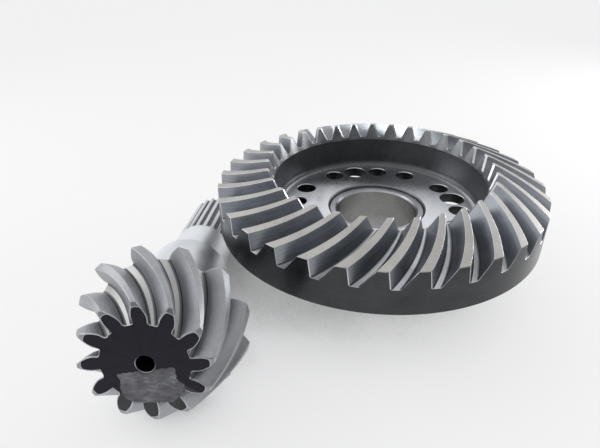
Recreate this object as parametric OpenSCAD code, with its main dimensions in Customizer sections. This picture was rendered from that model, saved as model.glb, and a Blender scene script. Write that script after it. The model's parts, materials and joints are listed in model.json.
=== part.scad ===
// Spiral bevel gear pair, 32:12, 90 degree shafts, laid out on a bench:
// crown wheel face up on its hub, pinion lying on its side in front of it.
// Units mm. Z up. Origin: axis of the crown wheel on the rear face of its hub.

/* [Gearing] */
// teeth on the crown wheel
crown_teeth = 32; // [28:1:40]
// teeth on the pinion
pinion_teeth = 12; // [9:1:16]
// outer cone distance along the pitch cone
cone_out = 148.1; // [140:0.1:156]
// inner cone distance along the pitch cone
cone_in = 102.1; // [95:0.1:110]
// spiral angle at mid face
spiral_mid = 32.7; // [25:0.1:40]
// radius of the circular cutter that curves the teeth
cutter_r = 114.3; // [95.3:0.1:152.4]
// normal pressure angle
press_ang = 20; // [14.5:0.5:25]
// crown tooth height above the pitch cone
crown_add = 4.8; // [3:0.1:7]
// pinion tooth height above the pitch cone
pinion_add = 7.2; // [5:0.1:9]
// full tooth depth
tooth_depth = 13.5; // [11:0.1:16]
// crown tooth space at the pitch cone, mid face
crown_space = 12.55; // [11:0.05:14]
// growth of the crown tooth space along the cone
space_grow = 0.0856; // [0.06:0.0001:0.14]
// play between the flanks
backlash = 0.3; // [0.1:0.05:0.6]

/* [Crown wheel] */
// outside diameter
crown_d = 280; // [260:1:300]
// height of the toothed ring at its rim, to the tooth crests
rim_h = 36.5; // [30:0.5:45]
// inner radius of the tooth crests
toe_r = 96; // [92:0.5:104]
// lean of the toe cone, from the crests down to the roots
toe_lean = 4; // [2:0.5:10]
// radius of the wall inside the teeth
wall_r = 91.4; // [85:0.1:94]
// thickness of the bolting flange
flange_t = 9.6; // [8:0.1:20]
// fillet between wall and flange
wall_fillet = 6.5; // [1:0.5:8]
// hub diameter behind the ring
hub_d = 120; // [105:1:130]
// hub length behind the ring
hub_h = 60; // [40:1:70]
// bolt circle diameter
bolt_pcd = 145; // [135:0.5:155]
// clearance hole for M16 bolts
bolt_d = 17.5; // [15:0.5:19]
// clearance hole for M20 bolts
big_d = 22; // [19:0.5:24]
// angle of the first large hole
big_start = 99.75; // [0:0.25:120]
// small holes beside each large hole, plus and minus
bolt_side = 18; // [16:0.5:21]
// third small hole, behind each large hole
bolt_third = 40; // [36:0.5:45]
// angle of the first tooth crest at the rim
crown_phase = -119.06; // [-180:0.01:180]

/* [Bush] */
// outside diameter of the bush
bush_od = 85; // [84:0.5:92]
// bore of the bush
bush_id = 71; // [70:0.5:80]
// radial running clearance between bush and crown bore
bush_gap = 0.05; // [0.01:0.01:0.1]
// depth of the bush below the flange face
bush_drop = 2.5; // [1:0.1:8]
// chamfer at the mouth of the bush
bush_lip = 1.6; // [0.5:0.1:3]

/* [Pinion] */
// distance from the front face to the large tip circle
head_len = 45; // [40:0.5:52]
// radius of the flat front face at the tooth tips
face_r = 39.2; // [34:0.1:40]
// depth of the bevel round the front face
face_bevel = 1.2; // [0.5:0.1:4]
// diameter of the bearing seat
seat_d = 62; // [55:0.5:65]
// start of the bearing seat behind the large tip circle
seat_gap = 11; // [6:0.5:16]
// radius of the shoulder between head and seat
shoulder_r = 35; // [32:0.5:38]
// end of the bearing seat from the front face
seat_end = 121.5; // [110:0.5:130]
// diameter over the spline teeth
spline_d = 47.6; // [44:0.2:52]
// start of the spline from the front face
spline_from = 172; // [150:1:190]
// number of spline teeth
spline_n = 22; // [16:1:28]
// depth of the spline grooves
spline_deep = 2.3; // [1.5:0.1:3]
// width of a spline groove
spline_slot = 3.3; // [2.5:0.1:4]
// overall length of the pinion
pinion_len = 250; // [230:1:280]
// centre hole diameter in the front face
centre_d = 11.8; // [8:0.2:14]
// depth of the centre hole
centre_deep = 32; // [15:1:45]
// tooth tip angle at the front face, from the right, upward
pinion_phase = 93.11; // [60:0.01:120]

/* [Layout] */
// front face of the pinion, sideways
front_x = -162.1; // [-180:0.1:-140]
// front face of the pinion, towards the viewer
front_y = -187.6; // [-220:0.1:-170]
// swing of the pinion axis about the vertical
swing = 1.58; // [-5:0.01:5]

/* [Label] */
// thickness of the tape
tape_t = 0.2; // [0.1:0.05:0.5]
// how far the tape is moved down from where it lies
tape_drop = 0; // [-3:0.5:5]
// radius cut from the tape round the centre hole
tape_notch = 6.9; // [6:0.1:9]

/* [Hidden] */
$fn = 96;
e = 0.01;
rad = 180 / PI;
edge_ch = 1;
rim_ch = 1.5;
end_ch = 2.5;
hub_ch = 2;
hub_cone = 5;
// lip between the tooth roots and the wall inside the crown wheel
lip_rise = 0.6;
lip_drop = 2.4;
// middle of a 90 degree fillet, as a share of its radius
fillet_mid = 1 - sqrt(0.5);
// back cone of the pinion's head, behind the large tip circle
back_rise = 4.74;
back_inset = 0.6;
shoulder_at = 9;
// step where the plain shaft becomes the spline
relief = 0.2;
relief_at = 5;
// lead-in at the end of the bearing seat: length and depth
seat_ch = 2;
seat_lead = 1;
// grinding relief at the foot of the bearing seat
groove = 0.4;
groove_w = 1.2;
groove_ramp = 0.8;

// pitch cones of a 90 degree pair
cone_p = atan(pinion_teeth / crown_teeth);
cone_c = 90 - cone_p;
cone_mid = (cone_in + cone_out) / 2;
crown_r = crown_d / 2;
crown_ded = tooth_depth - crown_add;
pinion_ded = tooth_depth - pinion_add;

// curve of a tooth made by a circular cutter, angle about the cone apex
cut_dist = sqrt(pow(cone_mid, 2) + pow(cutter_r, 2)
    - 2 * cone_mid * cutter_r * sin(spiral_mid));
function cut_ang(R) = acos((R * R + cut_dist * cut_dist - cutter_r * cutter_r)
    / (2 * R * cut_dist));
function sweep(R) = cut_ang(cone_mid) - cut_ang(R);
function spiral(R) = asin((R * R - cone_mid * cone_mid
    + 2 * cone_mid * cutter_r * sin(spiral_mid)) / (2 * R * cutter_r));
function slope(R) = tan(press_ang) / cos(spiral(R));

// crown cone: apex height above the back of the ring
crest_R = (crown_r - crown_add * cos(cone_c)) / sin(cone_c);
apex_h = rim_h + crest_R * cos(cone_c) - crown_add * sin(cone_c);
function ring_z(r, h) = apex_h - ((r - h * cos(cone_c)) / sin(cone_c)) * cos(cone_c)
    + h * sin(cone_c);
toe_root_r = toe_r - toe_lean;

// width of the tooth spaces
function crown_gap(R) = crown_space + space_grow * (R - cone_mid);
function pitch_arc(R) = 2 * PI * R * sin(cone_p) / pinion_teeth;

// involute tooth of the pinion on its back cone
function inv(a) = tan(a) - a / rad;
function back_r(R) = R * tan(cone_p);
function at(R) = atan(slope(R));
function base_r(R) = back_r(R) * cos(at(R));
function roll(R, h) = back_r(R) + h > base_r(R)
    ? inv(acos(base_r(R) / (back_r(R) + h))) : 0;
function tooth_half(R, h) = (back_r(R) + h) * ((crown_gap(R) - backlash)
    / (2 * back_r(R)) - roll(R, h) + inv(at(R)));

// apex of the pinion cone in front of its front face
tip_r = 58.7;
tip_R = (tip_r - pinion_add * cos(cone_p)) / sin(cone_p);
apex_s = head_len - tip_R * cos(cone_p) + pinion_add * sin(cone_p);
function head_r(s, h) = (s - apex_s) * tan(cone_p) + h / cos(cone_p);

// the pinion rests on its large end and on the end of its shaft
tilt = atan((tip_r - spline_d / 2) / (pinion_len - end_ch - head_len));
front_z = tip_r * cos(tilt) + head_len * sin(tilt);

// sections along a tooth space, run out past both ends of the teeth
steps = 6;
run_out = 11;
function station(i) = cone_in - run_out
    + (cone_out - cone_in + 2 * run_out) * i / steps;

// one crown tooth space: [half width, height] down one side and up the other
cut_top = 6.6;
root_round = 1.2;
root_flat = 0.45;
function crown_side(R) = [
    [crown_gap(R) / 2 + cut_top * slope(R), cut_top],
    [crown_gap(R) / 2 - (crown_ded - root_round) * slope(R), root_round - crown_ded],
    [(crown_gap(R) / 2 - crown_ded * slope(R)) * root_flat, -crown_ded]];
function crown_point(R, x, h) = let (
    r = R * sin(cone_c) + h * cos(cone_c),
    a = -sweep(R) / sin(cone_c) + x / r * rad)
    [r * cos(a), r * sin(a), apex_h - R * cos(cone_c) + h * sin(cone_c)];
function crown_ring(R) = let (q = crown_side(R)) concat(
    [for (p = q) crown_point(R, p[0], p[1])],
    [for (k = [len(q) - 1:-1:0]) crown_point(R, -q[k][0], q[k][1])]);

// one pinion tooth space, half width from the middle of the space at each height
pinion_lv = [10.4, 7.3, 5, 2.4, -0.6, -3.4, -5.5];
low_lv = pinion_lv[len(pinion_lv) - 1];
low_flat = 0.5;
thin_tip = 0.4;
function pinion_x(R, h) = let (r = R * sin(cone_p) + h * cos(cone_p))
    PI * r / pinion_teeth - max(tooth_half(R, h), thin_tip) * r
    / (back_r(R) + h) / cos(cone_p);
function pinion_point(R, x, h) = let (
    r = R * sin(cone_p) + h * cos(cone_p),
    a = -sweep(R) / sin(cone_p) + x / r * rad)
    [r * cos(a), r * sin(a), apex_s + R * cos(cone_p) - h * sin(cone_p)];
function pinion_ring(R) = let (n = len(pinion_lv)) concat(
    [for (h = pinion_lv) pinion_point(R, pinion_x(R, h), h)],
    [pinion_point(R, pinion_x(R, low_lv) * low_flat, -pinion_ded),
     pinion_point(R, -pinion_x(R, low_lv) * low_flat, -pinion_ded)],
    [for (k = [n - 1:-1:0]) pinion_point(R, -pinion_x(R, pinion_lv[k]), pinion_lv[k])]);

// closed skin over a stack of rings of n points each
module skin(rings, n, flip) {
    m = len(rings);
    pts = [for (ring = rings) for (p = ring) p];
    side = [for (i = [0:m - 2]) for (j = [0:n - 1]) let (k = (j + 1) % n) each
        [[i * n + j, i * n + k, (i + 1) * n + k],
         [i * n + j, (i + 1) * n + k, (i + 1) * n + j]]];
    half = n / 2;
    first = [for (j = [0:half - 2]) each
        [[j, n - 1 - j, j + 1], [j + 1, n - 1 - j, n - 2 - j]]];
    last = [for (f = first) [for (k = [2:-1:0]) (m - 1) * n + f[k]]];
    all = concat(side, first, last);
    polyhedron(points = pts,
        faces = flip ? [for (f = all) [f[2], f[1], f[0]]] : all, convexity = 6);
}

// ring blank, flange and hub, turned in one piece
module crown_blank() {
    bore = bush_od / 2 + bush_gap;
    hub_r = hub_d / 2;
    rotate_extrude($fn = 192)
        polygon([[bore, -hub_h], [hub_r - hub_ch, -hub_h], [hub_r, -hub_h + hub_ch],
            [hub_r, -hub_cone], [hub_r + hub_cone, 0],
            [crown_r - rim_ch, 0], [crown_r, rim_ch],
            [crown_r, ring_z(crown_r, crown_add)],
            [toe_r, ring_z(toe_r, crown_add)],
            [toe_root_r, ring_z(toe_root_r, -crown_ded) + lip_rise],
            [wall_r, ring_z(toe_root_r, -crown_ded) - lip_drop],
            [wall_r, flange_t + wall_fillet],
            [wall_r - wall_fillet * fillet_mid, flange_t + wall_fillet * fillet_mid],
            [wall_r - wall_fillet, flange_t],
            [bore + edge_ch, flange_t], [bore, flange_t - edge_ch]]);
}

module crown_wheel() {
    color([0.55, 0.57, 0.60]) translate([0, 0, hub_h]) difference() {
        crown_blank();
        for (k = [0:crown_teeth - 1])
            rotate([0, 0, crown_phase + sweep(crest_R) / sin(cone_c)
                + (k + 0.5) * 360 / crown_teeth])
                skin([for (i = [0:steps]) crown_ring(station(i))], 6, false);
        for (k = [0:3]) {
            rotate([0, 0, big_start + 90 * k]) translate([bolt_pcd / 2, 0, -e])
                cylinder(d = big_d, h = flange_t + 2 * e, $fn = 48);
            for (a = [bolt_side, -bolt_side, -bolt_third])
                rotate([0, 0, big_start + 90 * k + a])
                    translate([bolt_pcd / 2, 0, -e])
                        cylinder(d = bolt_d, h = flange_t + 2 * e, $fn = 48);
        }
    }
}

// plain bearing bush in the bore of the crown wheel
module bore_bush() {
    top = hub_h + flange_t - bush_drop;
    color([0.70, 0.71, 0.72]) rotate_extrude($fn = 144)
        polygon([[bush_id / 2, 0],
            [bush_od / 2 - edge_ch, 0], [bush_od / 2, edge_ch],
            [bush_od / 2, top - edge_ch], [bush_od / 2 - edge_ch, top],
            [bush_id / 2 + bush_lip, top], [bush_id / 2, top - bush_lip]]);
}

// head and shaft of the pinion, turned in one piece, small end at z = 0
module pinion_blank() {
    back_s = head_len + back_rise;
    seat_r = seat_d / 2;
    spline_r = spline_d / 2;
    rotate_extrude($fn = 144)
        polygon([[0, 0], [face_r, 0], [head_r(face_bevel, pinion_add), face_bevel],
            [tip_r, head_len], [head_r(back_s, -pinion_ded) - back_inset, back_s],
            [shoulder_r + edge_ch, head_len + shoulder_at],
            [shoulder_r, head_len + shoulder_at], [shoulder_r, head_len + seat_gap],
            [seat_r - groove, head_len + seat_gap],
            [seat_r - groove, head_len + seat_gap + groove_w],
            [seat_r, head_len + seat_gap + groove_w + groove_ramp],
            [seat_r, seat_end - seat_ch], [seat_r - seat_lead, seat_end],
            [spline_r + relief, seat_end], [spline_r + relief, spline_from - relief_at],
            [spline_r, spline_from - relief_at + relief], [spline_r, pinion_len - end_ch],
            [spline_r - end_ch, pinion_len], [0, pinion_len]]);
}

// grooves of the spline, each running out in a curve at its start
module spline_slots() {
    low = spline_d / 2 - spline_deep;
    bend = [[-1.8, 1], [0, 0.05]];
    ramp_in = [[6, 0.9], [13, 0]];
    for (k = [0:spline_n - 1])
        rotate([0, 0, k * 360 / spline_n]) rotate([90, 0, 0])
            translate([0, 0, -spline_slot / 2]) linear_extrude(spline_slot)
                polygon(concat(
                    [for (p = bend) [spline_d / 2 + p[1], spline_from + p[0]]],
                    [for (p = ramp_in) [low + p[1], spline_from + p[0]]],
                    [[low, pinion_len + 1], [spline_d / 2 + 1, pinion_len + 1]]));
}

// moves a shape from the turning position to its place on the bench
module lay() {
    translate([front_x, front_y, front_z]) rotate([-(90 + tilt), 0, -swing])
        children();
}

module pinion() {
    color([0.62, 0.64, 0.66]) lay() difference() {
        pinion_blank();
        rotate([0, 0, -pinion_phase + sweep(100) / sin(cone_p)])
            for (k = [0:pinion_teeth - 1])
                rotate([0, 0, (k + 0.5) * 360 / pinion_teeth])
                    skin([for (i = [0:steps]) pinion_ring(station(i))], 16, true);
        spline_slots();
        translate([0, 0, -e]) cylinder(d = centre_d, h = centre_deep, $fn = 48);
        translate([0, 0, -e])
            cylinder(d1 = centre_d + 2 * edge_ch, d2 = centre_d, h = edge_ch, $fn = 48);
    }
}

// blank strip of masking tape on the front face, torn at both sides and open at the
// centre hole; its outline is in mm from the pinion axis, across and down
module tape_label() {
    torn_left = [[-8.5, 27.7], [-11.2, 26.6], [-13.6, 25.2], [-14.7, 23.4],
        [-15.9, 21.5], [-16.2, 19.4], [-16.9, 17.4], [-15.9, 15.4], [-16.4, 13.3],
        [-15.5, 11.6], [-17.0, 10.2], [-17.4, 7.6]];
    torn_right = [[17.3, 2.2], [17.2, 6.0], [17.9, 7.8], [17.4, 9.7], [19.2, 11.9],
        [20.4, 12.6], [22.6, 14.4], [21.9, 15.6], [22.5, 17.2], [20.6, 19.0],
        [20.4, 20.8], [17.2, 24.2], [14.2, 26.9]];
    color([0.60, 0.60, 0.60]) lay() rotate([180, 0, 0])
        linear_extrude(tape_t) difference() {
            polygon([for (p = concat(torn_left, torn_right)) [p[0], -p[1] - tape_drop]]);
            circle(r = tape_notch, $fn = 48);
        }
}

crown_wheel();
bore_bush();
pinion();
tape_label();
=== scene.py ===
"""Spiral bevel gear pair on a pale bench: a crown wheel face up on its hub and a splined pinion beside it.

Both gears are rebuilt here as smooth, finely divided meshes on the same cones, tooth curves and phases
as the CAD solids. Lengths in the constants are millimetres; the meshes are in metres in the CAD frame.
"""
import json
from math import acos, asin, atan, atan2, cos, pi, radians, sin, sqrt, tan

import bmesh
import bpy
from mathutils import Matrix, Vector

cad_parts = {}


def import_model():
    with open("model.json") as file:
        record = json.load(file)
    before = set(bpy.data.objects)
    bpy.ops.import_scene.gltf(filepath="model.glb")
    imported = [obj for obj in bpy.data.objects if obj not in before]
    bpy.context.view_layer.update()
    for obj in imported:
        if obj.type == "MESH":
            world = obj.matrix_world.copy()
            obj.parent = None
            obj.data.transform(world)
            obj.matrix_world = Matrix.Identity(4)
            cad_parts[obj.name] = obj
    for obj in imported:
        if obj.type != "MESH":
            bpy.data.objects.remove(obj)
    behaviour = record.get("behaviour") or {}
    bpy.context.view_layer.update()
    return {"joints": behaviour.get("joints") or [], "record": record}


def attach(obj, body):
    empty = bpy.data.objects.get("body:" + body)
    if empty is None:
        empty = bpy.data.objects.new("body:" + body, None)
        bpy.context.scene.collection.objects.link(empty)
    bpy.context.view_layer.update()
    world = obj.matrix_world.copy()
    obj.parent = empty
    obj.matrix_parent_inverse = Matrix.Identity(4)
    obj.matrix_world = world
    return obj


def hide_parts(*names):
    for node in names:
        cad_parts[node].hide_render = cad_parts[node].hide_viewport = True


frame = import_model()
MOUNTS = {m["name"]: m for m in frame["record"]["mounts"]}
JOINTS = {j["name"]: j for j in frame["joints"]}
MM = 0.001

# ---------------------------------------------------------------- gearing, as in the CAD model
CROWN_TEETH, PINION_TEETH = 32, 12
CONE_IN, CONE_OUT = 102.1, 148.1
CONE_MID = (CONE_IN + CONE_OUT) / 2
SPIRAL_MID = radians(32.7)
CUTTER_R = 114.3
PRESS = radians(20)
CROWN_ADD, PINION_ADD, DEPTH = 4.8, 7.2, 13.5
CROWN_DED, PINION_DED = DEPTH - CROWN_ADD, DEPTH - PINION_ADD
CROWN_SPACE, SPACE_GROW, BACKLASH = 12.55, 0.0856, 0.3
CONE_P = atan(PINION_TEETH / CROWN_TEETH)
CONE_C = pi / 2 - CONE_P
CUT_DIST = sqrt(CONE_MID ** 2 + CUTTER_R ** 2 - 2 * CONE_MID * CUTTER_R * sin(SPIRAL_MID))

# ---------------------------------------------------------------- crown wheel
HUB_H = MOUNTS["ring_back"]["pos_m"][2] / MM
CROWN_R, RIM_H, TOE_R, TOE_ROOT_R, WALL_R = 140.0, 36.5, 96.0, 92.0, 91.4
FLANGE_T, WALL_FILLET, ROOT_R = 9.6, 6.5, 1.8
# the black ends at this ring of the wall's fillet, counted down from the toe band
BARE_FROM = 6
# the rim below the teeth: where its UVs start, then its steps as (how far in, how high)
RIM_FOOT = 28.0
RIM_STEPS = [(0.0, 18.0), (0.0, 9.0), (0.0, 1.2), (1.2, 0.0), (1.8, 0.0)]
TOE_LIFT, TOE_DROP = 0.6, 2.4
HUB_FILLET, HUB_RUN_OUT, HUB_BEVEL, BORE_BEVEL = 3, 0.6, 2, 1
HUB_R = MOUNTS["hub_seat"]["dims"]["r_mm"]
BOLT_R = MOUNTS["large_bolts"]["dims"]["pcd_mm"] / 2
BIG_HOLE_R = MOUNTS["large_bolts"]["dims"]["hole_r_mm"]
SMALL_HOLE_R = MOUNTS["small_bolts"]["dims"]["hole_r_mm"]
BIG_START, SMALL_STEPS = 99.75, (18.0, -18.0, -40.0)
CROWN_PHASE = radians(-119.06)
BUSH_R, BUSH_BORE, BUSH_GAP = 42.5, MOUNTS["bush_bore"]["dims"]["r_mm"], 0.05
BUSH_DROP, BUSH_LIP, HOLE_BEVEL = 2.5, 1.6, 0.5
EDGE_R, TOE_BEVEL, TOE_CORNER, TOE_FADE, HEEL_BEVEL = 0.3, 1.2, 1.0, 3.0, 0.3

# ---------------------------------------------------------------- pinion
HEAD_LEN, TIP_R, FACE_R, FACE_BEVEL = 45.0, 58.7, 39.2, 1.2
BACK_S, BACK_IN = HEAD_LEN + 4.74, 0.6
# the boss behind the head, as (radius, distance behind the tips' back end), and the neck after it
BOSS_STEPS, NECK_R = [(37.2, 8.0), (36.0, 9.0), (35.0, 9.0)], 35.0
SEAT_R, SEAT_END = MOUNTS["pinion_seat"]["dims"]["r_mm"], 121.5
SEAT_FOOT, GROOVE, GROOVE_W, GROOVE_RAMP = HEAD_LEN + 11.0, 0.4, 1.2, 0.8
# the lead-in at the seat's end, as (how far in, distance before the end)
LEAD_STEPS = [(0.0, 2), (0.5, 0.9), (2, 0.0)]
SHAFT_OVER, SHAFT_STOP = 0.2, 5
SPLINE_R, SPLINE_FROM, SPLINE_N, SPLINE_DEEP, SPLINE_SLOT = 23.8, 172.0, 22, 2.3, 3.3
SPLINE_SHOULDER, RUN_BACK, RUN_OUT, RUN_RINGS = SPLINE_FROM - 4.8, 2.0, 12.0, 10
PINION_LEN, END_BEVEL, END_CORE_R = 250.0, 2.5, 2.0
CENTRE_R, CENTRE_DEEP = MOUNTS["pinion_centre_hole"]["dims"]["r_mm"], 32.0
PINION_PHASE, PHASE_R = radians(-93.11), 100.0
PINION_ROOT_R, TOOTH_MIN, CREST_MIN, CREST_LEFT = 1.9, 0.35, 0.3, 0.15
PAINT_RINGS, WELL_R = (26.0, 17.0), 0.4
CENTRE_MOUNT_S, CENTRE_BEVEL = 16.0, 0.5
TIP_EDGE_R, FRONT_BEVEL, BACK_BEVEL = 0.5, 0.45, 0.5
PAINT_IN, LOBE_R, LOBE_W, LOBE_AT = 0.35, 3.2, 4.0, 9
# the paint is lighter on the lobes facing down between these angles: a painted reflection of the bench
PAINTED_REFLECTION_FROM, PAINTED_REFLECTION_TO = radians(32), radians(128)
TAPE_T, TAPE_GAP, TAPE_NOTCH = 0.2, 0.01, 6.9
TEAR_STEP, TEAR = 0.35, 0.9
# torn outline of the tape, as (across, down) from the pinion's axis
TORN_LEFT = [(-8.5, 27.7), (-11.2, 26.6), (-13.6, 25.2), (-14.7, 23.4), (-15.9, 21.5), (-16.2, 19.4),
             (-16.9, 17.4), (-15.9, 15.4), (-16.4, 13.3), (-15.5, 11.6), (-17.0, 10.2), (-17.4, 7.6)]
TORN_RIGHT = [(17.3, 2.2), (17.2, 6.0), (17.9, 7.8), (17.4, 9.7), (19.2, 11.9), (20.4, 12.6), (22.6, 14.4),
              (21.9, 15.6), (22.5, 17.2), (20.6, 19.0), (20.4, 20.8), (17.2, 24.2), (14.2, 26.9)]

# ---------------------------------------------------------------- how finely the meshes are divided
CROWN_ROWS, PINION_ROWS, ROUND_COLS, HOLE_COLS, NOTCH_COLS = 26, 44, 192, 48, 24
# width that one tooth space's outline has in the UVs
CROWN_SKIN, PINION_SKIN = 30.0, 40.0


# ================================================================ tooth geometry
def cut_ang(R):
    """Angle about the apex, in the unrolled cone, of the arc a circular cutter leaves at cone distance R."""
    return acos((R * R + CUT_DIST ** 2 - CUTTER_R ** 2) / (2 * R * CUT_DIST))


def sweep(R):
    return cut_ang(CONE_MID) - cut_ang(R)


def slope(R):
    """Tangent of the flank angle across the tooth at cone distance R."""
    s = (R * R - CONE_MID ** 2 + 2 * CONE_MID * CUTTER_R * sin(SPIRAL_MID)) / (2 * R * CUTTER_R)
    return tan(PRESS) / cos(asin(s))


def crown_gap(R):
    return CROWN_SPACE + SPACE_GROW * (R - CONE_MID)


CREST_R = (CROWN_R - CROWN_ADD * cos(CONE_C)) / sin(CONE_C)
APEX_H = RIM_H + CREST_R * cos(CONE_C) - CROWN_ADD * sin(CONE_C)
TIP_CONE = (TIP_R - PINION_ADD * cos(CONE_P)) / sin(CONE_P)
APEX_S = HEAD_LEN - TIP_CONE * cos(CONE_P) + PINION_ADD * sin(CONE_P)


def ring_z(r, h):
    return APEX_H - (r - h * cos(CONE_C)) / sin(CONE_C) * cos(CONE_C) + h * sin(CONE_C)


def head_r(s, h):
    return (s - APEX_S) * tan(CONE_P) + h / cos(CONE_P)


def crown_rz(R, h):
    return R * sin(CONE_C) + h * cos(CONE_C), APEX_H - R * cos(CONE_C) + h * sin(CONE_C)


def pinion_rz(R, h):
    return R * sin(CONE_P) + h * cos(CONE_P), APEX_S + R * cos(CONE_P) - h * sin(CONE_P)


def lerp(a, b, t):
    return a + (b - a) * t


def spread(a, b, n):
    """n values from a to b, both included."""
    return [lerp(a, b, k / (n - 1)) for k in range(n)]


def arc(cx, cy, r, a0, a1, n):
    return [(cx + r * cos(a), cy + r * sin(a)) for a in spread(a0, a1, n)]


# zones across half a tooth space, from the middle of its root to the middle of a crest
ROOT, SHADED_FILLET, FLANK, EDGE, CREST = "root", "fillet", "flank", "edge", "crest"


def crown_half(R, by, corner):
    """[(x, h)] from the middle of a tooth space to the middle of a crest, sunk by that much for a bevel."""
    a = atan(slope(R))
    out = by / cos(a)
    turn = pi / 2 - a
    x0 = crown_gap(R) / 2 - CROWN_DED * tan(a)
    rad = min(ROOT_R, 0.8 * x0 / tan(turn / 2))
    flat = x0 - rad * tan(turn / 2) + out
    pts = [(flat * k / 2, -CROWN_DED) for k in range(2)]
    pts += arc(flat, -CROWN_DED + rad, rad, -pi / 2, -a, 5)
    top = CROWN_ADD - by
    edge_x, cut = crown_gap(R) / 2 + top * tan(a) + out, corner * tan(turn / 2)
    flank = spread(pts[-1][1], top - cut * cos(a), 8)[1:-1]
    pts += [(crown_gap(R) / 2 + h * tan(a) + out, h) for h in flank]
    pts += arc(edge_x + cut, top - corner, corner, pi - a, pi / 2, 4)
    crest_x = pi * crown_rz(R, CROWN_ADD)[0] / CROWN_TEETH
    return pts + [(x, top) for x in spread(edge_x + cut, crest_x, 4)[1:]]


CROWN_ZONES = [ROOT] * 2 + [SHADED_FILLET] * 4 + [FLANK] * 7 + [EDGE] * 3 + [CREST] * 3


def inv(a):
    return tan(a) - a


def tooth_half(R, h):
    """Half the thickness of a pinion tooth, on the unrolled back cone."""
    back = R * tan(CONE_P)
    a = atan(slope(R))
    base = back * cos(a)
    roll = inv(acos(base / (back + h))) if back + h > base else 0.0
    return (back + h) * ((crown_gap(R) - BACKLASH) / (2 * back) - roll + inv(a))


def pinion_side(R, h):
    """Half the width of the pinion's tooth space at height h."""
    r = pinion_rz(R, h)[0]
    tooth = max(tooth_half(R, h), TOOTH_MIN) * r / (R * tan(CONE_P) + h) / cos(CONE_P)
    return pi * r / PINION_TEETH - tooth


def pinion_half(R, by, corner):
    low, rad = -PINION_DED, PINION_ROOT_R
    h0 = low + rad * 0.9
    x0 = pinion_side(R, h0) + by
    rad = min(rad, x0 * 0.9)
    pts = [((x0 - rad) * k / 2, low) for k in range(2)]
    pts += [(x0 - rad + rad * sin(a), low + (h0 - low) * (1 - cos(a))) for a in spread(0, pi / 2, 5)]
    top = PINION_ADD - by
    crest_x = pi * pinion_rz(R, PINION_ADD)[0] / PINION_TEETH
    flank = spread(h0, top - corner, 11)[1:]
    pts += [(min(pinion_side(R, h) + by, crest_x - CREST_MIN), h) for h in flank]
    edge_x = pts[-1][0]
    wide = min(corner, crest_x - CREST_LEFT - edge_x)
    pts += [(edge_x + wide * (1 - cos(a)), top - corner + corner * sin(a)) for a in spread(0, pi / 2, 4)[1:]]
    return pts + [(x, top) for x in spread(edge_x + wide, crest_x, 4)[1:]]


PINION_ZONES = [ROOT] * 2 + [SHADED_FILLET] * 4 + [FLANK] * 10 + [EDGE] * 3 + [CREST] * 3


def both_sides(half):
    """A whole tooth space, from one crest's middle to the next."""
    return [(-x, h) for x, h in half[:0:-1]] + half


def both_zones(zones):
    return zones[::-1] + zones


def gear_row(half, rz, cone, teeth, start, cone_of, by, corner):
    """One ring of points over all the teeth. cone_of gives the cone distance for a height."""
    first = both_sides(half(cone_of(0.0), by, corner))[:-1]
    cones = [cone_of(h) for _, h in first]
    exact = [both_sides(half(R, by, corner))[j] for j, R in enumerate(cones)]
    pts = []
    for tooth in range(teeth):
        base = start + (tooth + 0.5) * 2 * pi / teeth
        for (x, h), R in zip(exact, cones):
            r, z = rz(R, h)
            a = base - sweep(R) / sin(cone) + x / r
            pts.append((r * cos(a), r * sin(a), z))
    return pts


def solve_line(rz, h, p, q):
    """Cone distance at which the surface point at height h meets the line p-q in the (r, z) plane."""
    r0, z0 = rz(0.0, h)
    r1, z1 = rz(1.0, h)
    ar, az = r1 - r0, z1 - z0
    dr, dz = q[0] - p[0], q[1] - p[1]
    return ((p[0] - r0) * dz - (p[1] - z0) * dr) / (ar * dz - az * dr)


def bevelled(size, steps):
    """(along, by) down a bevelled end: how far in from the end, and how far the profile is sunk there."""
    return [(along, size - along) for along in spread(0, size, steps + 1)[:-1]]


def circle(r, z, n, cx=0.0, cy=0.0):
    return [(cx + r * cos(2 * pi * k / n), cy + r * sin(2 * pi * k / n), z) for k in range(n)]


def around(ring, r, z):
    """The ring's own angles at another radius and height."""
    out = []
    for x, y, _ in ring:
        n = sqrt(x * x + y * y)
        out.append((x / n * r, y / n * r, z))
    return out


def turn_of(p):
    return atan2(p[1], p[0]) % (2 * pi)


# ================================================================ mesh building
WELD, SHARP, SHARP_BETWEEN = 1e-4, radians(28), radians(7)


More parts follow.
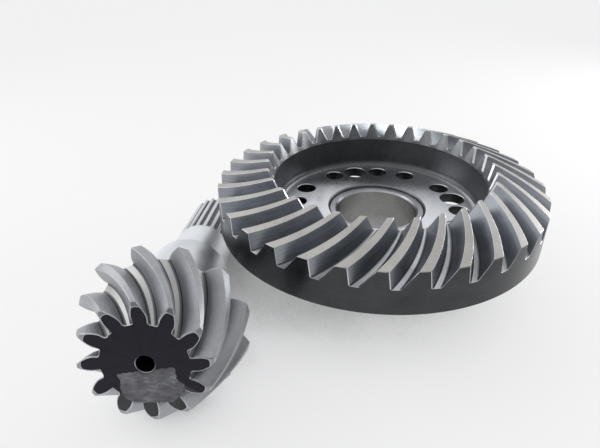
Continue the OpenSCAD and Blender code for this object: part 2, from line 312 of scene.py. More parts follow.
class Shell:
    """A mesh built from rings of points that share their number of columns, with UVs and face groups."""

    def __init__(self, name):
        self.name = name
        self.bm = bmesh.new()
        self.uv = self.bm.loops.layers.uv.new("skin")
        self.slots = []

    def slot(self, material):
        if material not in self.slots:
            self.slots.append(material)
        return self.slots.index(material)

    def ring(self, pts):
        return [self.bm.verts.new(p) for p in pts]

    def turned(self, ring, pts, profile):
        """The ring at pts, and one more at each step of a turned profile, at the same angles."""
        return [ring] + [self.ring(around(pts, r, z)) for r, z in profile]

    def strip(self, low, high, materials, uvs, flip=False):
        """Quads between two closed rings. materials and uvs are functions of the column."""
        n = len(low)
        for j in range(n):
            k = (j + 1) % n
            quad = [low[j], low[k], high[k], high[j]]
            corner = uvs(j)
            if flip:
                quad, corner = quad[::-1], corner[::-1]
            seen, keep = set(), []
            for v, c in zip(quad, corner):
                if v not in seen:
                    seen.add(v)
                    keep.append((v, c))
            if len(keep) < 3:
                continue
            face = self.bm.faces.new([v for v, _ in keep])
            face.material_index = self.slot(materials(j))
            face.smooth = True
            for loop, (_, c) in zip(face.loops, keep):
                loop[self.uv].uv = c

    def lathe(self, rings, profile, material, flip=False, pick=None):
        """Strips along a turned profile, between its rings. pick gives each column its own material."""
        length = 0.0
        for (r0, z0), (r1, z1), low, high in zip(profile, profile[1:], rings, rings[1:]):
            step = sqrt((r1 - r0) ** 2 + (z1 - z0) ** 2)
            n, mean = len(low), max((r0 + r1) / 2, 1.0)

            def uvs(j, a=length, b=length + step, n=n, mean=mean):
                u0, u1 = j / n * 2 * pi * mean, (j + 1) / n * 2 * pi * mean
                return [(u0 * MM, a * MM), (u1 * MM, a * MM), (u1 * MM, b * MM), (u0 * MM, b * MM)]
            self.strip(low, high, pick or (lambda j: material), uvs, flip=flip)
            length += step

    def teeth(self, rows, mats, zones, ends, width, flip=False):
        """The toothed surface through rows of points. ends counts the bevelled strips at toe and heel."""
        rings = [self.ring(row) for row in rows]
        cols, last = len(zones), len(rings) - 1
        for i, (low, high) in enumerate(zip(rings, rings[1:])):
            at_end = i < ends[0] or i >= last - ends[1]

            def pick(j, at_end=at_end):
                return mats[EDGE if at_end else zones[j % cols]]

            def uvs(j, i=i):
                u0, u1 = (k / len(rings) * (CONE_OUT - CONE_IN) * MM for k in (i, i + 1))
                v0, v1 = (k / cols * width * MM for k in (j % cols, j % cols + 1))
                return [(u0, v0), (u0, v1), (u1, v1), (u1, v0)]
            self.strip(low, high, pick, uvs, flip)
        return rings

    def face(self, verts, material, smooth=True, flat_uv=False):
        """One face. flat_uv gives it its own x and y as UVs."""
        f = self.bm.faces.new(verts)
        f.smooth = smooth
        f.material_index = self.slot(material)
        if flat_uv:
            self.flat_uv(f)

    def flat_uv(self, face):
        for loop in face.loops:
            loop[self.uv].uv = (loop.vert.co.x * MM, loop.vert.co.y * MM)

    def fill(self, loops, material, up):
        """A flat face with holes, between closed rings of vertices."""
        edges = []
        for ring in loops:
            for a, b in zip(ring, ring[1:] + ring[:1]):
                edges.append(self.bm.edges.get((a, b)) or self.bm.edges.new((a, b)))
        made = bmesh.ops.triangle_fill(self.bm, use_beauty=True, use_dissolve=False, edges=edges,
                                       normal=(0, 0, 1))
        index = self.slot(material)
        for face in [g for g in made["geom"] if isinstance(g, bmesh.types.BMFace)]:
            face.normal_update()
            if (face.normal.z > 0) != up:
                face.normal_flip()
            face.material_index = index
            face.smooth = True
            self.flat_uv(face)

    def build(self, place, body, node_name):
        """Scales to metres, puts the mesh in place, marks its sharp edges and lets it ride on its body."""
        bm = self.bm
        bmesh.ops.remove_doubles(bm, verts=bm.verts, dist=WELD)
        bm.normal_update()
        for e in bm.edges:
            if len(e.link_faces) == 2:
                turn = e.calc_face_angle(0.0)
                other = e.link_faces[0].material_index != e.link_faces[1].material_index
                e.smooth = not (turn > SHARP or (other and turn > SHARP_BETWEEN))
        bm.transform(place @ Matrix.Diagonal((MM, MM, MM, 1)))
        mesh = bpy.data.meshes.new(self.name)
        bm.to_mesh(mesh)
        bm.free()
        for m in self.slots:
            mesh.materials.append(m)
        obj = bpy.data.objects.new(self.name, mesh)
        bpy.context.scene.collection.objects.link(obj)
        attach(obj, body)
        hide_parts(node_name)


# ================================================================ materials
def new_material(name):
    mat = bpy.data.materials.new(name)
    mat.use_nodes = True
    return mat, mat.node_tree, mat.node_tree.nodes, mat.node_tree.links


def node(tree, kind, **inputs):
    n = tree.nodes.new(kind)
    for key, value in inputs.items():
        n.inputs[key.replace("_", " ")].default_value = value
    return n


def ramp(tree, fac, stops):
    n = tree.nodes.new("ShaderNodeValToRGB")
    while len(n.color_ramp.elements) < len(stops):
        n.color_ramp.elements.new(0.5)
    for e, (pos, col) in zip(n.color_ramp.elements, stops):
        e.position = pos
        e.color = (*col, 1) if len(col) == 3 else col
    tree.links.new(fac, n.inputs[0])
    return n.outputs[0]


def grey(v, tint=(1.0, 1.0, 1.0)):
    return tuple(v * t for t in tint)


BLUE, COOL, NEUTRAL, WARM = (0.94, 0.99, 1.08), (0.97, 1.0, 1.05), (1.0, 1.0, 0.99), (1.02, 1.0, 0.96)
# share of the fine grain in a steel's colour; the rest is mottling
GRAIN_SHARE, MOTTLE_SHARE = 0.55, 0.45


def steel(name, dark, light, rough, metal=1.0, tint=COOL, grain=900.0, stretch=(1, 1, 1), bump=0.05,
          mottle=45.0, coords="UV", turned=0.0, gloss=0.5):
    """Worked steel: large soft mottling, and fine grain stretched along the tool marks."""
    mat, tree, nodes, wires = new_material(name)
    bsdf = nodes["Principled BSDF"]
    bsdf.inputs["Metallic"].default_value = metal
    bsdf.inputs["Specular IOR Level"].default_value = gloss
    if turned:
        bsdf.inputs["Anisotropic"].default_value = turned
        around_z = nodes.new("ShaderNodeTangent")
        around_z.direction_type, around_z.axis = "RADIAL", "Z"
        wires.new(around_z.outputs[0], bsdf.inputs["Tangent"])
    where = nodes.new("ShaderNodeTexCoord")
    stretchy = node(tree, "ShaderNodeMapping", Scale=stretch)
    wires.new(where.outputs[coords], stretchy.inputs["Vector"])
    big = node(tree, "ShaderNodeTexNoise", Scale=mottle, Detail=3.0, Roughness=0.55)
    wires.new(where.outputs["Object"], big.inputs["Vector"])
    fine = node(tree, "ShaderNodeTexNoise", Scale=grain, Detail=4.0, Roughness=0.6)
    wires.new(stretchy.outputs[0], fine.inputs["Vector"])
    mix = node(tree, "ShaderNodeMath")
    mix.operation = "MULTIPLY_ADD"
    wires.new(fine.outputs["Fac"], mix.inputs[0])
    mix.inputs[1].default_value = GRAIN_SHARE
    soft = node(tree, "ShaderNodeMath")
    soft.operation = "MULTIPLY"
    soft.inputs[1].default_value = MOTTLE_SHARE
    wires.new(big.outputs["Fac"], soft.inputs[0])
    wires.new(soft.outputs[0], mix.inputs[2])
    colour = ramp(tree, mix.outputs[0], [(0.36, grey(dark, tint)), (0.64, grey(light, tint))])
    wires.new(colour, bsdf.inputs["Base Color"])
    roughness = ramp(tree, mix.outputs[0], [(0.35, grey(rough - 0.06)), (0.65, grey(rough + 0.08))])
    wires.new(roughness, bsdf.inputs["Roughness"])
    relief = node(tree, "ShaderNodeBump", Strength=bump, Distance=0.0004)
    wires.new(fine.outputs["Fac"], relief.inputs["Height"])
    wires.new(relief.outputs[0], bsdf.inputs["Normal"])
    return mat


def black_paint(name, dark, light):
    """Thin black paint on a turned face: faint rings about the axis, and soft clouds."""
    mat, tree, nodes, wires = new_material(name)
    bsdf = nodes["Principled BSDF"]
    bsdf.inputs["Specular IOR Level"].default_value = 0.25
    where = nodes.new("ShaderNodeTexCoord")
    rings = node(tree, "ShaderNodeTexWave", Scale=150.0, Distortion=1.5, Detail=2.0, Detail_Scale=0.4)
    rings.wave_type, rings.rings_direction = "RINGS", "SPHERICAL"
    cloud = node(tree, "ShaderNodeTexNoise", Scale=110.0, Detail=4.0, Roughness=0.6)
    both = node(tree, "ShaderNodeMix", Factor=0.8)
    for texture, socket in ((rings, "A"), (cloud, "B")):
        wires.new(where.outputs["UV"], texture.inputs["Vector"])
        wires.new(texture.outputs["Fac"], both.inputs[socket])
    wires.new(ramp(tree, both.outputs[0], [(0.25, dark), (0.75, light)]), bsdf.inputs["Base Color"])
    wires.new(ramp(tree, both.outputs[0], [(0.2, grey(0.36)), (0.8, grey(0.48))]), bsdf.inputs["Roughness"])
    relief = node(tree, "ShaderNodeBump", Strength=0.08, Distance=0.0003)
    wires.new(rings.outputs["Fac"], relief.inputs["Height"])
    wires.new(relief.outputs[0], bsdf.inputs["Normal"])
    return mat


CROWN_MATS = {
    ROOT: steel("crown_root", 0.26, 0.80, 0.42, stretch=(0.06, 1.0, 1), grain=650),
    # the dark fillet steel is painted shade along the root corners of the tooth spaces
    SHADED_FILLET: steel("crown_fillet", 0.10, 0.26, 0.44, stretch=(0.06, 1.0, 1), grain=650),
    FLANK: steel("crown_flank", 0.25, 0.42, 0.44, stretch=(0.06, 1.0, 1), grain=800, tint=BLUE),
    EDGE: steel("bright_edge", 0.56, 0.76, 0.34),
    CREST: steel("crown_crest", 0.38, 0.54, 0.45, stretch=(1.2, 0.35, 1), grain=1600, tint=WARM),
    "rim": steel("crown_rim", 0.048, 0.072, 0.24, stretch=(0.15, 1.5, 1), grain=1300),
    "toe": steel("crown_toe", 0.30, 0.46, 0.42, mottle=120),
    "wall": steel("crown_wall", 0.09, 0.16, 0.40, stretch=(0.15, 2.5, 1), grain=1300),
    "flange": steel("crown_flange", 0.80, 0.90, 0.29, coords="Object", grain=2500, turned=0.8, bump=0.01),
    # near-black steel for the bolt holes' walls: painted shade inside the holes
    "hole": steel("hole_wall", 0.03, 0.06, 0.45),
    "back": steel("crown_back", 0.18, 0.26, 0.42, coords="Object"),
}
PINION_MATS = {
    ROOT: steel("pinion_root", 0.40, 0.56, 0.48, stretch=(0.1, 1.0, 1), tint=NEUTRAL),
    # the dark fillet steel is painted shade along the root corners of the tooth spaces
    SHADED_FILLET: steel("pinion_fillet", 0.10, 0.17, 0.48, stretch=(0.1, 1.0, 1)),
    FLANK: steel("pinion_flank", 0.36, 0.48, 0.46, metal=0.9, stretch=(0.4, 1.4, 1)),
    EDGE: steel("pinion_edge", 0.42, 0.58, 0.40),
    CREST: steel("pinion_crest", 0.30, 0.44, 0.46, metal=0.9),
    "shaft": steel("pinion_shaft", 0.72, 0.88, 0.42, stretch=(0.1, 2.0, 1), grain=1600),
    "spline": steel("pinion_spline", 0.56, 0.74, 0.38),
    # dark steel for the spline's grooves: painted shade inside the grooves
    "groove": steel("spline_groove", 0.09, 0.18, 0.45),
    "bevel": steel("pinion_bevel", 0.30, 0.42, 0.42),
    "paint": black_paint("black_paint", (0.0045, 0.0042, 0.010), (0.0085, 0.0075, 0.021)),
    # lighter paint for the lobes facing down, a painted reflection of the bench
    "worn_paint": black_paint("worn_paint", (0.030, 0.031, 0.033), (0.075, 0.077, 0.080)),
    # near-black steel for the centre hole's wall and floor: painted shade inside the hole
    "hole": steel("pinion_hole", 0.02, 0.04, 0.5),
}
BUSH_MAT = steel("bush_honed", 0.64, 0.80, 0.20, stretch=(0.1, 1.0, 1), grain=1500, tint=NEUTRAL,
                 bump=0.015)
BUSH_LIP_MAT = steel("bush_lip", 0.36, 0.50, 0.30)

# ================================================================ crown wheel
TOE_TOP = (TOE_R, ring_z(TOE_R, CROWN_ADD))
TOE_LOW = (TOE_ROOT_R, ring_z(TOE_ROOT_R, -CROWN_DED) + TOE_LIFT)
TOE_FOOT = (WALL_R, ring_z(TOE_ROOT_R, -CROWN_DED) - TOE_DROP)


def crown_toe(h):
    return solve_line(crown_rz, h, TOE_TOP, TOE_LOW)


def crown_heel(h):
    return (CROWN_R - h * cos(CONE_C)) / sin(CONE_C)


def crown_rows():
    """The toothed surface from toe to heel, with its end bevels. Also how many strips each bevel has."""
    toe, heel = bevelled(TOE_BEVEL, 3), bevelled(HEEL_BEVEL, 1)
    spans = [(lambda h, d=along: crown_toe(h) + d, by, TOE_CORNER) for along, by in toe]
    for t in spread(0, 1, CROWN_ROWS):
        corner = lerp(TOE_CORNER, EDGE_R, min(1.0, t * (CONE_OUT - CONE_IN) / TOE_FADE))
        spans.append((lambda h, t=t: lerp(crown_toe(h) + TOE_BEVEL, crown_heel(h) - HEEL_BEVEL, t),
                      0.0, corner))
    spans += [(lambda h, d=along: crown_heel(h) - d, by, EDGE_R) for along, by in heel[::-1]]
    start = CROWN_PHASE + sweep(CREST_R) / sin(CONE_C)
    rows = [gear_row(crown_half, crown_rz, CONE_C, CROWN_TEETH, start, *span) for span in spans]
    return rows, (len(toe), len(heel))


def bolt_hole(shell, angle, radius):
    """A hole through the flange with bevelled mouths. Returns its rings in the front and in the back."""
    cx, cy = BOLT_R * cos(radians(angle)), BOLT_R * sin(radians(angle))
    profile = [(radius + HOLE_BEVEL, FLANGE_T), (radius, FLANGE_T - HOLE_BEVEL), (radius, HOLE_BEVEL),
               (radius + HOLE_BEVEL, 0.0)]
    rings = [shell.ring(circle(r, z, HOLE_COLS, cx, cy)) for r, z in profile]
    shell.lathe(rings[:2], profile[:2], CROWN_MATS[EDGE], flip=True)
    # the wall gets near-black steel, painted shade inside the hole
    shell.lathe(rings[1:], profile[1:], CROWN_MATS["hole"], flip=True)
    return rings[0], rings[-1]


def crown_wheel():
    shell = Shell("crown_wheel_steel")
    rows, ends = crown_rows()
    rings = shell.teeth(rows, CROWN_MATS, both_zones(CROWN_ZONES), ends, CROWN_SKIN, flip=True)
    # rim, down from the heel ends
    rim = [(CROWN_R - x, z) for x, z in RIM_STEPS]
    rim_rings = shell.turned(rings[-1], rows[-1], rim)
    shell.lathe(rim_rings, [(CROWN_R, RIM_FOOT)] + rim, CROWN_MATS["rim"], flip=True)
    # toe band, wall and fillet, down from the toe ends
    band_rings = shell.turned(rings[0], rows[0], [TOE_FOOT])
    shell.lathe(band_rings, [TOE_LOW, TOE_FOOT], CROWN_MATS["toe"])
    wall = [(WALL_R, FLANGE_T + WALL_FILLET + 8.0)]
    wall += [(WALL_R - WALL_FILLET + x, FLANGE_T + WALL_FILLET + y)
             for x, y in arc(0, 0, WALL_FILLET, 0, -pi / 2, 7)]
    wall += [(WALL_R - WALL_FILLET - 0.5, FLANGE_T)]
    wall_rings, wall = shell.turned(band_rings[-1], rows[0], wall), [TOE_FOOT] + wall
    shell.lathe(wall_rings[:BARE_FROM + 1], wall[:BARE_FROM + 1], CROWN_MATS["wall"])
    shell.lathe(wall_rings[BARE_FROM:], wall[BARE_FROM:], CROWN_MATS["flange"])
    # hub and bore
    bore = BUSH_R + BUSH_GAP
    hub = [(HUB_R + HUB_FILLET + HUB_RUN_OUT, 0.0)]
    hub += [(HUB_R + HUB_FILLET + x, -HUB_FILLET + y) for x, y in arc(0, 0, HUB_FILLET, pi / 2, pi, 6)]
    hub += [(HUB_R, -HUB_H + HUB_BEVEL), (HUB_R - HUB_BEVEL, -HUB_H),
            (bore + BORE_BEVEL, -HUB_H), (bore, -HUB_H + BORE_BEVEL),
            (bore, FLANGE_T - BORE_BEVEL), (bore + BORE_BEVEL, FLANGE_T)]
    hub_rings = [shell.ring(circle(r, z, ROUND_COLS)) for r, z in hub]
    shell.lathe(hub_rings, hub, CROWN_MATS["back"], flip=True)
    # bolt holes through the flange, one large and three small in each quarter
    holes = []
    for quarter in range(4):
        large = BIG_START + 90 * quarter
        holes.append(bolt_hole(shell, large, BIG_HOLE_R))
        holes += [bolt_hole(shell, large + step, SMALL_HOLE_R) for step in SMALL_STEPS]
    fronts, backs = zip(*holes)
    shell.fill([wall_rings[-1], hub_rings[-1], *fronts], CROWN_MATS["flange"], up=True)
    shell.fill([rim_rings[-1], hub_rings[0], *backs], CROWN_MATS["back"], up=False)
    shell.build(Matrix.Translation((0, 0, HUB_H * MM)), "crown", "crown_wheel")


def bush():
    shell = Shell("bush_ring")
    top = HUB_H + FLANGE_T - BUSH_DROP
    outline = [(BUSH_BORE, 0.0), (BUSH_R - BORE_BEVEL, 0.0), (BUSH_R, BORE_BEVEL),
               (BUSH_R, top - BORE_BEVEL), (BUSH_R - BORE_BEVEL, top),
               (BUSH_BORE + BUSH_LIP, top), (BUSH_BORE, top - BUSH_LIP), (BUSH_BORE, 0.0)]
    rings = [shell.ring(circle(r, z, ROUND_COLS)) for r, z in outline]
    shell.lathe(rings[:4], outline[:4], CROWN_MATS["back"])
    shell.lathe(rings[3:7], outline[3:7], BUSH_LIP_MAT)
    shell.lathe(rings[6:], outline[6:], BUSH_MAT)
    shell.build(Matrix.Identity(4), "sleeve", "bore_bush")


# ================================================================ pinion
PINION_COLS = 2 * len(PINION_ZONES)
PINION_ALL = PINION_COLS * PINION_TEETH


def pinion_toe(h):
    flat = (-APEX_S + h * sin(CONE_P)) / cos(CONE_P)
    if pinion_rz(flat, h)[0] <= FACE_R:
        return flat
    return solve_line(pinion_rz, h, (FACE_R, 0.0), (head_r(FACE_BEVEL, PINION_ADD), FACE_BEVEL))


def pinion_heel(h):
    low = (head_r(BACK_S, -PINION_DED) - BACK_IN, BACK_S)
    return solve_line(pinion_rz, h, (TIP_R, HEAD_LEN), low)


def pinion_row(cone_of, by):
    start = PINION_PHASE + sweep(PHASE_R) / sin(CONE_P)
    return gear_row(pinion_half, pinion_rz, CONE_P, PINION_TEETH, start, cone_of, by, TIP_EDGE_R)


def pinion_place():
    """From the turning position, small end at the origin and shaft along +Z, to the bench."""
    axis = Vector(JOINTS["pinion_spin"]["axis"]).normalized()
    front = Vector(MOUNTS["pinion_centre_hole"]["pos_m"]) - axis * CENTRE_MOUNT_S * MM
    side = axis.cross(Vector((0, 0, 1))).normalized()
    down = axis.cross(side)
    return Matrix.Translation(front) @ Matrix((side, down, axis)).transposed().to_4x4()


def slot_ring(s, n):
    """The spline's section at s as n (angle, radius), with rounded grooves that run out at the start."""
    run = min(max((s - SPLINE_FROM + RUN_BACK) / RUN_OUT, 0.0), 1.0)
    deep = SPLINE_DEEP * sqrt(1 - (1 - run) ** 2)
    per = n / SPLINE_N
    pitch = 2 * pi / SPLINE_N
    half_top = 0.5 * (SPLINE_SLOT + 0.9) / SPLINE_R
    half_low = 0.5 * (SPLINE_SLOT - 1.1) / (SPLINE_R - SPLINE_DEEP)
    # the angle from the middle of a groove, and the share of the groove's depth there
    marks = [(0.0, 1.0), (half_low * 0.6, 1.0), (half_low, 0.93), (lerp(half_low, half_top, 0.5), 0.5),
             (half_top, 0.06), (half_top * 1.08, 0.0), (pitch / 2, 0.0)]
    out = []
    for k in range(n):
        g, part = divmod(k, per)
        t = (part / per - 0.5) * 2
        f = abs(t) * (len(marks) - 1)
        i = min(int(f), len(marks) - 2)
        a = lerp(marks[i][0], marks[i + 1][0], f - i)
        d = lerp(marks[i][1], marks[i + 1][1], f - i)
        angle = (g + 0.5) * pitch + (a if t >= 0 else -a)
        out.append((angle, SPLINE_R - deep * d))
    return out


def pinion_front(shell, ring, toe):
    """Bevel over the tooth tips, flat face with its black paint, and centre hole."""
    rim = []
    for v, p in zip(ring, toe):
        r = sqrt(p[0] ** 2 + p[1] ** 2)
        inside = r <= FACE_R + 0.02
        rim.append(v if inside else shell.bm.verts.new((p[0] / r * FACE_R, p[1] / r * FACE_R, 0.0)))
    for i in range(PINION_ALL):
        k = (i + 1) % PINION_ALL
        quad = list(dict.fromkeys((ring[i], rim[i], rim[k], ring[k])))
        if len(quad) > 2:
            shell.face(quad[::-1], PINION_MATS["bevel"])
    mouth = (CENTRE_R + CENTRE_BEVEL, 0.0)
    edge = shell.ring(paint_edge())
    face_rings = [rim] + shell.turned(edge, toe, [(r, 0.0) for r in PAINT_RINGS] + [mouth])
    for low, high in zip(face_rings, face_rings[1:]):
        for i in range(PINION_ALL):
            k = (i + 1) % PINION_ALL
            coat = EDGE if low is rim else "paint"
            # the outer band on the lobes facing down gets the lighter paint, a painted reflection of the
            # bench
            if low is edge and PAINTED_REFLECTION_FROM < turn_of(low[i].co) < PAINTED_REFLECTION_TO:
                coat = "worn_paint"
            shell.face((low[i], high[i], high[k], low[k]), PINION_MATS[coat], flat_uv=True)
    well = [mouth, (CENTRE_R, CENTRE_BEVEL), (CENTRE_R, CENTRE_DEEP), (WELL_R, CENTRE_DEEP)]
    well_rings = shell.turned(face_rings[-1], toe, well[1:])
    shell.lathe(well_rings[:2], well[:2], PINION_MATS["bevel"], flip=True)
    # the well's wall and floor get near-black steel, painted shade inside the hole
    shell.lathe(well_rings[1:], well[1:], PINION_MATS["hole"], flip=True)
    shell.face(well_rings[-1], PINION_MATS["hole"], smooth=False)


def pinion_back(shell, ring, heel):
    """Back of the head, seat and shaft, up to the spline. Returns the last ring."""
    back = [(r, HEAD_LEN + d) for r, d in BOSS_STEPS]
    back += [(NECK_R, SEAT_FOOT), (SEAT_R - GROOVE, SEAT_FOOT), (SEAT_R - GROOVE, SEAT_FOOT + GROOVE_W),
             (SEAT_R, SEAT_FOOT + GROOVE_W + GROOVE_RAMP)]
    shaft = [(SEAT_R - x, SEAT_END - d) for x, d in LEAD_STEPS]
    shaft += [(SPLINE_R + SHAFT_OVER, SEAT_END), (SPLINE_R + SHAFT_OVER, SPLINE_FROM - SHAFT_STOP),
              (SPLINE_R, SPLINE_SHOULDER)]
    profile = [(TIP_R - 8, BACK_S)] + back + shaft
    rings = shell.turned(ring, heel, back + shaft)
    shell.lathe(rings[:len(back) + 1], profile[:len(back) + 1], PINION_MATS["bevel"])
    shell.lathe(rings[len(back):], profile[len(back):], PINION_MATS["shaft"])
    return rings[-1]


def pinion_spline(shell, ring, heel):
    """The splined end, on from the shaft's last ring, with rings set closer where the grooves run out."""
    n = PINION_ALL
    first = turn_of(around(heel[:1], 1.0, 0.0)[0])
    marks = [SPLINE_FROM - RUN_BACK + RUN_OUT * (k / (RUN_RINGS - 1)) ** 1.6 for k in range(RUN_RINGS)]
    shown = (SPLINE_R, SPLINE_SHOULDER)
    for s in marks + [PINION_LEN - END_BEVEL]:
        section = sorted(slot_ring(s, n))
        # the section's point nearest the first column, so that the columns run on straight
        shift = min(range(n), key=lambda k: abs((section[k][0] - first + pi) % (2 * pi) - pi))
        pts = [(r * cos(a), r * sin(a), s) for a, r in section[shift:] + section[:shift]]
        current = shell.ring(pts)
        # columns deep in a groove get the dark groove steel, painted shade in the grooves
        deep = [sqrt(x * x + y * y) < SPLINE_R - SPLINE_DEEP / 2 for x, y, _ in pts]

        def pick(j, deep=deep):
            return PINION_MATS["groove" if deep[j] or deep[(j + 1) % n] else "spline"]
        shell.lathe([ring, current], [shown, (SPLINE_R, s)], None, pick=pick)
        ring, shown = current, (SPLINE_R, s)
    end = shell.ring([(v.co.x * 0.9, v.co.y * 0.9, PINION_LEN) for v in ring])
    shell.lathe([ring, end], [shown, (SPLINE_R - END_BEVEL, PINION_LEN)], PINION_MATS["bevel"])
    core = shell.ring(around([v.co for v in end], END_CORE_R, PINION_LEN))
    shell.lathe([end, core], [(20, 0), (2, 0)], PINION_MATS["bevel"])
    shell.face(core, PINION_MATS["bevel"], smooth=False)


def pinion():
    shell = Shell("pinion_steel")
    rows = [pinion_row(pinion_toe, FRONT_BEVEL)]
    for t in spread(0, 1, PINION_ROWS):
        rows.append(pinion_row(lambda h: lerp(pinion_toe(h) + FRONT_BEVEL, pinion_heel(h) - BACK_BEVEL, t),
                               0.0))
    rows.append(pinion_row(pinion_heel, BACK_BEVEL))
    rings = shell.teeth(rows, PINION_MATS, both_zones(PINION_ZONES), (1, 1), PINION_SKIN)
    pinion_front(shell, rings[0], rows[0])
    shaft_end = pinion_back(shell, rings[-1], rows[-1])
    pinion_spline(shell, shaft_end, rows[-1])
    shell.build(pinion_place(), "pinion_shaft", "pinion")


def paint_edge():
    """Outline of the black paint: just inside the tooth ends, with rounded lobes."""
    row = pinion_row(pinion_toe, FRONT_BEVEL + PAINT_IN)
    out = []
    for j, p in enumerate(row):
        tooth = (j + PINION_COLS // 2) // PINION_COLS * PINION_COLS
        sides = [Vector(row[(tooth + d) % PINION_ALL]).xy for d in (-LOBE_AT, LOBE_AT)]
        here, middle = Vector(p).xy, (sides[0] + sides[1]).normalized()
        past = max(0.0, abs(here.cross(middle)) - (LOBE_W - LOBE_R))
        limit = FACE_R - PAINT_IN - LOBE_R + sqrt(max(0.0, LOBE_R ** 2 - past ** 2))
        here *= min(1.0, limit / here.length)
        out.append((here.x, here.y, 0.0))
    return out


# ================================================================ tape on the pinion's face
def tape_material():
    """Grey masking tape: fine crepe across the strip, long soft creases and darker smears. The creases'
    shade and sheen are painted into the colour.
    """
    mat, tree, nodes, wires = new_material("masking_tape")
    bsdf = nodes["Principled BSDF"]
    bsdf.inputs["Roughness"].default_value = 0.6
    where = nodes.new("ShaderNodeTexCoord")
    crepe_at = node(tree, "ShaderNodeMapping", Scale=(1.0, 0.25, 1.0))
    wires.new(where.outputs["UV"], crepe_at.inputs["Vector"])
    crepe = node(tree, "ShaderNodeTexNoise", Scale=1400.0, Detail=3.0)
    wires.new(crepe_at.outputs[0], crepe.inputs["Vector"])
    crease_at = node(tree, "ShaderNodeMapping", Scale=(0.35, 1.0, 1.0), Rotation=(0, 0, radians(12)))
    wires.new(where.outputs["UV"], crease_at.inputs["Vector"])
    crease_relief_and_shade = node(tree, "ShaderNodeTexNoise", Scale=330.0, Detail=4.0, Roughness=0.6, Distortion=0.8)
    wires.new(crease_at.outputs[0], crease_relief_and_shade.inputs["Vector"])
    smear = node(tree, "ShaderNodeTexNoise", Scale=70.0, Detail=3.0, Roughness=0.6)
    wires.new(where.outputs["UV"], smear.inputs["Vector"])
    # the colour follows the creases, painted shade in their hollows and painted sheen on their ridges, and
    # the smears, which are dirt
    both = node(tree, "ShaderNodeMix", Factor=0.5)
    wires.new(crease_relief_and_shade.outputs["Fac"], both.inputs["A"])
    wires.new(smear.outputs["Fac"], both.inputs["B"])
    colour = ramp(tree, both.outputs[0], [(0.40, (0.085, 0.086, 0.098)), (0.50, (0.145, 0.147, 0.165)),
                                          (0.60, (0.25, 0.255, 0.275))])
    wires.new(colour, bsdf.inputs["Base Color"])
    rough = node(tree, "ShaderNodeMix", Factor=0.7)
    wires.new(crepe.outputs["Fac"], rough.inputs["A"])
    wires.new(crease_relief_and_shade.outputs["Fac"], rough.inputs["B"])
    relief = node(tree, "ShaderNodeBump", Strength=0.9, Distance=0.0005)
    wires.new(rough.outputs[0], relief.inputs["Height"])
    wires.new(relief.outputs[0], bsdf.inputs["Normal"])
    return mat


def tape_outline():
    """The torn outline, clockwise from the lower left, with the round notch below the centre hole."""
    (ax, ay), (bx, by) = TORN_LEFT[-1], TORN_RIGHT[0]
    dx, dy = bx - ax, by - ay
    A, B, C = dx * dx + dy * dy, ax * dx + ay * dy, ax * ax + ay * ay - TAPE_NOTCH ** 2
    swing = sqrt(B * B - A * C)
    ends = [(-B + s * swing) / A for s in (-1, 1)]
    a0, a1 = [atan2(ay + dy * t, ax + dx * t) for t in ends]
    notch = arc(0, 0, TAPE_NOTCH, a0 if a0 > 0 else a0 + 2 * pi, a1, NOTCH_COLS)
    corners = TORN_LEFT + notch + TORN_RIGHT
    out = []
    for k, (x0, y0) in enumerate(corners):
        x1, y1 = corners[(k + 1) % len(corners)]
        side = sqrt((x1 - x0) ** 2 + (y1 - y0) ** 2)
        steps = max(1, int(side / TEAR_STEP))
        for i in range(steps):
            x, y = lerp(x0, x1, i / steps), lerp(y0, y1, i / steps)
            ragged = 0.5 + 0.25 * sin(5.3 * x + 7.1 * y) + 0.25 * sin(13.7 * x - 17.3 * y)
            pull = TEAR * ragged if i else 0.0
            out.append((x + (y1 - y0) / side * pull, y - (x1 - x0) / side * pull))
    return out


def tape():
    shell = Shell("tape_strip")
    mat = tape_material()
    outline = tape_outline()
    back = shell.ring([(x, y, -TAPE_GAP) for x, y in outline])
    front = shell.ring([(x, y, -TAPE_T) for x, y in outline])
    shell.strip(back, front, lambda j: mat, lambda j: [(0, 0)] * 4)
    shell.fill([front], mat, up=False)
    shell.fill([back], mat, up=True)
    shell.build(pinion_place(), "pinion_shaft", "tape_label")


# ================================================================ camera, floor and light
CAMERA_AT = Vector((-0.06923, -0.41009, 0.23327)) + Vector((0, 0, HUB_H * MM))
CAMERA_DOWN, CAMERA_ROLL, LENS = radians(30.596), radians(-0.414), 30.99
BENCH, BENCH_GLOW, BENCH_HALF = (0.28, 0.275, 0.265, 1), (0.66, 0.665, 0.675), 9.0
# the share of the bench's glow that is left, by how open the bench is above within the reach; the fading is
# a painted shadow close to the parts
PAINTED_SHADOW_REACH, PAINTED_SHADOW_STEPS = 0.13, [(0.0, 0.03), (0.22, 0.32), (0.35, 0.88), (0.6, 1.0)]
TENT_BRIGHT = (-0.35, 0.55, 0.76)
TENT_STEPS = [(0.0, 0.03), (0.35, 0.12), (0.6, 0.50), (0.8, 0.90), (1.0, 1.0)]
TENT_POWER, BACKDROP = 1.0, (0.88, 0.88, 0.885, 1)


def camera():
    cam = bpy.data.cameras.new("camera")
    cam.lens, cam.sensor_width = LENS, 36.0
    cam.clip_start, cam.clip_end = 0.01, 50
    obj = bpy.data.objects.new("camera", cam)
    obj.matrix_world = (Matrix.Translation(CAMERA_AT) @ Matrix.Rotation(pi / 2 - CAMERA_DOWN, 4, "X")
                        @ Matrix.Rotation(CAMERA_ROLL, 4, "Z"))
    bpy.context.scene.collection.objects.link(obj)
    bpy.context.scene.camera = obj


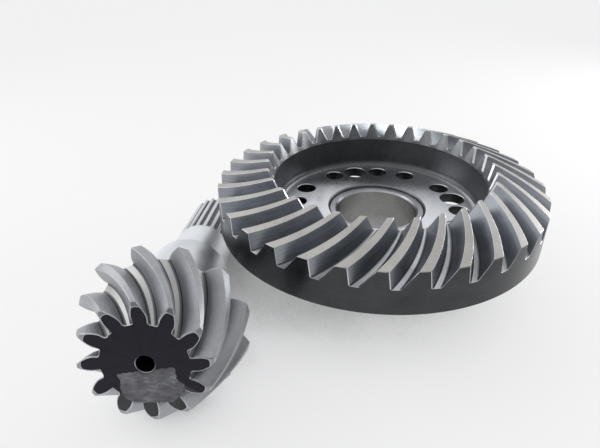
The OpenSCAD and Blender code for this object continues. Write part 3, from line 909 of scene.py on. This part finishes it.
def floor():
    """A pale bench that glows a little. The glow fades close to the parts: a painted soft shadow."""
    mat, tree, nodes, wires = new_material("bench")
    bsdf = nodes["Principled BSDF"]
    bsdf.inputs["Roughness"].default_value = 0.9
    bsdf.inputs["Specular IOR Level"].default_value = 0.05
    bsdf.inputs["Base Color"].default_value = BENCH
    # the glow fades where the parts hem the bench in, a painted shadow under and between them
    painted_shadow_ao = node(tree, "ShaderNodeAmbientOcclusion", Distance=PAINTED_SHADOW_REACH)
    painted_shadow_ao.samples = 16
    steps = [(at, grey(share, BENCH_GLOW)) for at, share in PAINTED_SHADOW_STEPS]
    glow = ramp(tree, painted_shadow_ao.outputs["AO"], steps)
    wires.new(glow, bsdf.inputs["Emission Color"])
    bsdf.inputs["Emission Strength"].default_value = 1.0
    mesh = bpy.data.meshes.new("bench")
    corners = [(x * BENCH_HALF, y * BENCH_HALF, 0) for x, y in ((-1, -1), (1, -1), (1, 1), (-1, 1))]
    mesh.from_pydata(corners, [], [(0, 1, 2, 3)])
    mesh.materials.append(mat)
    obj = bpy.data.objects.new("bench", mesh)
    bpy.context.scene.collection.objects.link(obj)


def softbox(name, at, aim, size, radiance):
    light = bpy.data.lights.new(name, "AREA")
    light.shape, light.size, light.size_y = "RECTANGLE", size[0], size[1]
    light.energy = radiance * pi * size[0] * size[1]
    obj = bpy.data.objects.new(name, light)
    obj.location = at
    obj.rotation_euler = (Vector(aim) - Vector(at)).to_track_quat("-Z", "Y").to_euler()
    bpy.context.scene.collection.objects.link(obj)


def world():
    """A pale tent, brightest high up beyond the gears on the left, and darkest low on the viewer's side."""
    w = bpy.data.worlds.new("tent")
    bpy.context.scene.world = w
    w.use_nodes = True
    tree = w.node_tree
    where = tree.nodes.new("ShaderNodeTexCoord")
    toward = tree.nodes.new("ShaderNodeVectorMath")
    toward.operation = "DOT_PRODUCT"
    toward.inputs[1].default_value = TENT_BRIGHT
    tree.links.new(where.outputs["Generated"], toward.inputs[0])
    share = node(tree, "ShaderNodeMapRange", From_Min=-1.0, From_Max=1.0)
    tree.links.new(toward.outputs["Value"], share.inputs["Value"])
    glow = ramp(tree, share.outputs[0], [(at, grey(v)) for at, v in TENT_STEPS])
    tree.links.new(glow, tree.nodes["Background"].inputs["Color"])
    tree.nodes["Background"].inputs["Strength"].default_value = TENT_POWER
    # the camera itself sees a plain backdrop instead of the tent
    plain = node(tree, "ShaderNodeBackground", Color=BACKDROP)
    ray = tree.nodes.new("ShaderNodeLightPath")
    pick = tree.nodes.new("ShaderNodeMixShader")
    tent = tree.nodes["Background"]
    for k, socket in enumerate((ray.outputs["Is Camera Ray"], tent.outputs[0], plain.outputs[0])):
        tree.links.new(socket, pick.inputs[k])
    tree.links.new(pick.outputs[0], tree.nodes["World Output"].inputs["Surface"])


bpy.context.scene.view_settings.view_transform = "Standard"
camera()
floor()
world()
softbox("right", (0.95, 0.35, 0.28), (0.1, 0, 0.08), (0.5, 0.4), 9.5)
softbox("left", (-0.9, 0.15, 0.55), (-0.15, -0.1, 0.06), (0.5, 0.5), 2.0)
crown_wheel()
bush()
pinion()
tape()
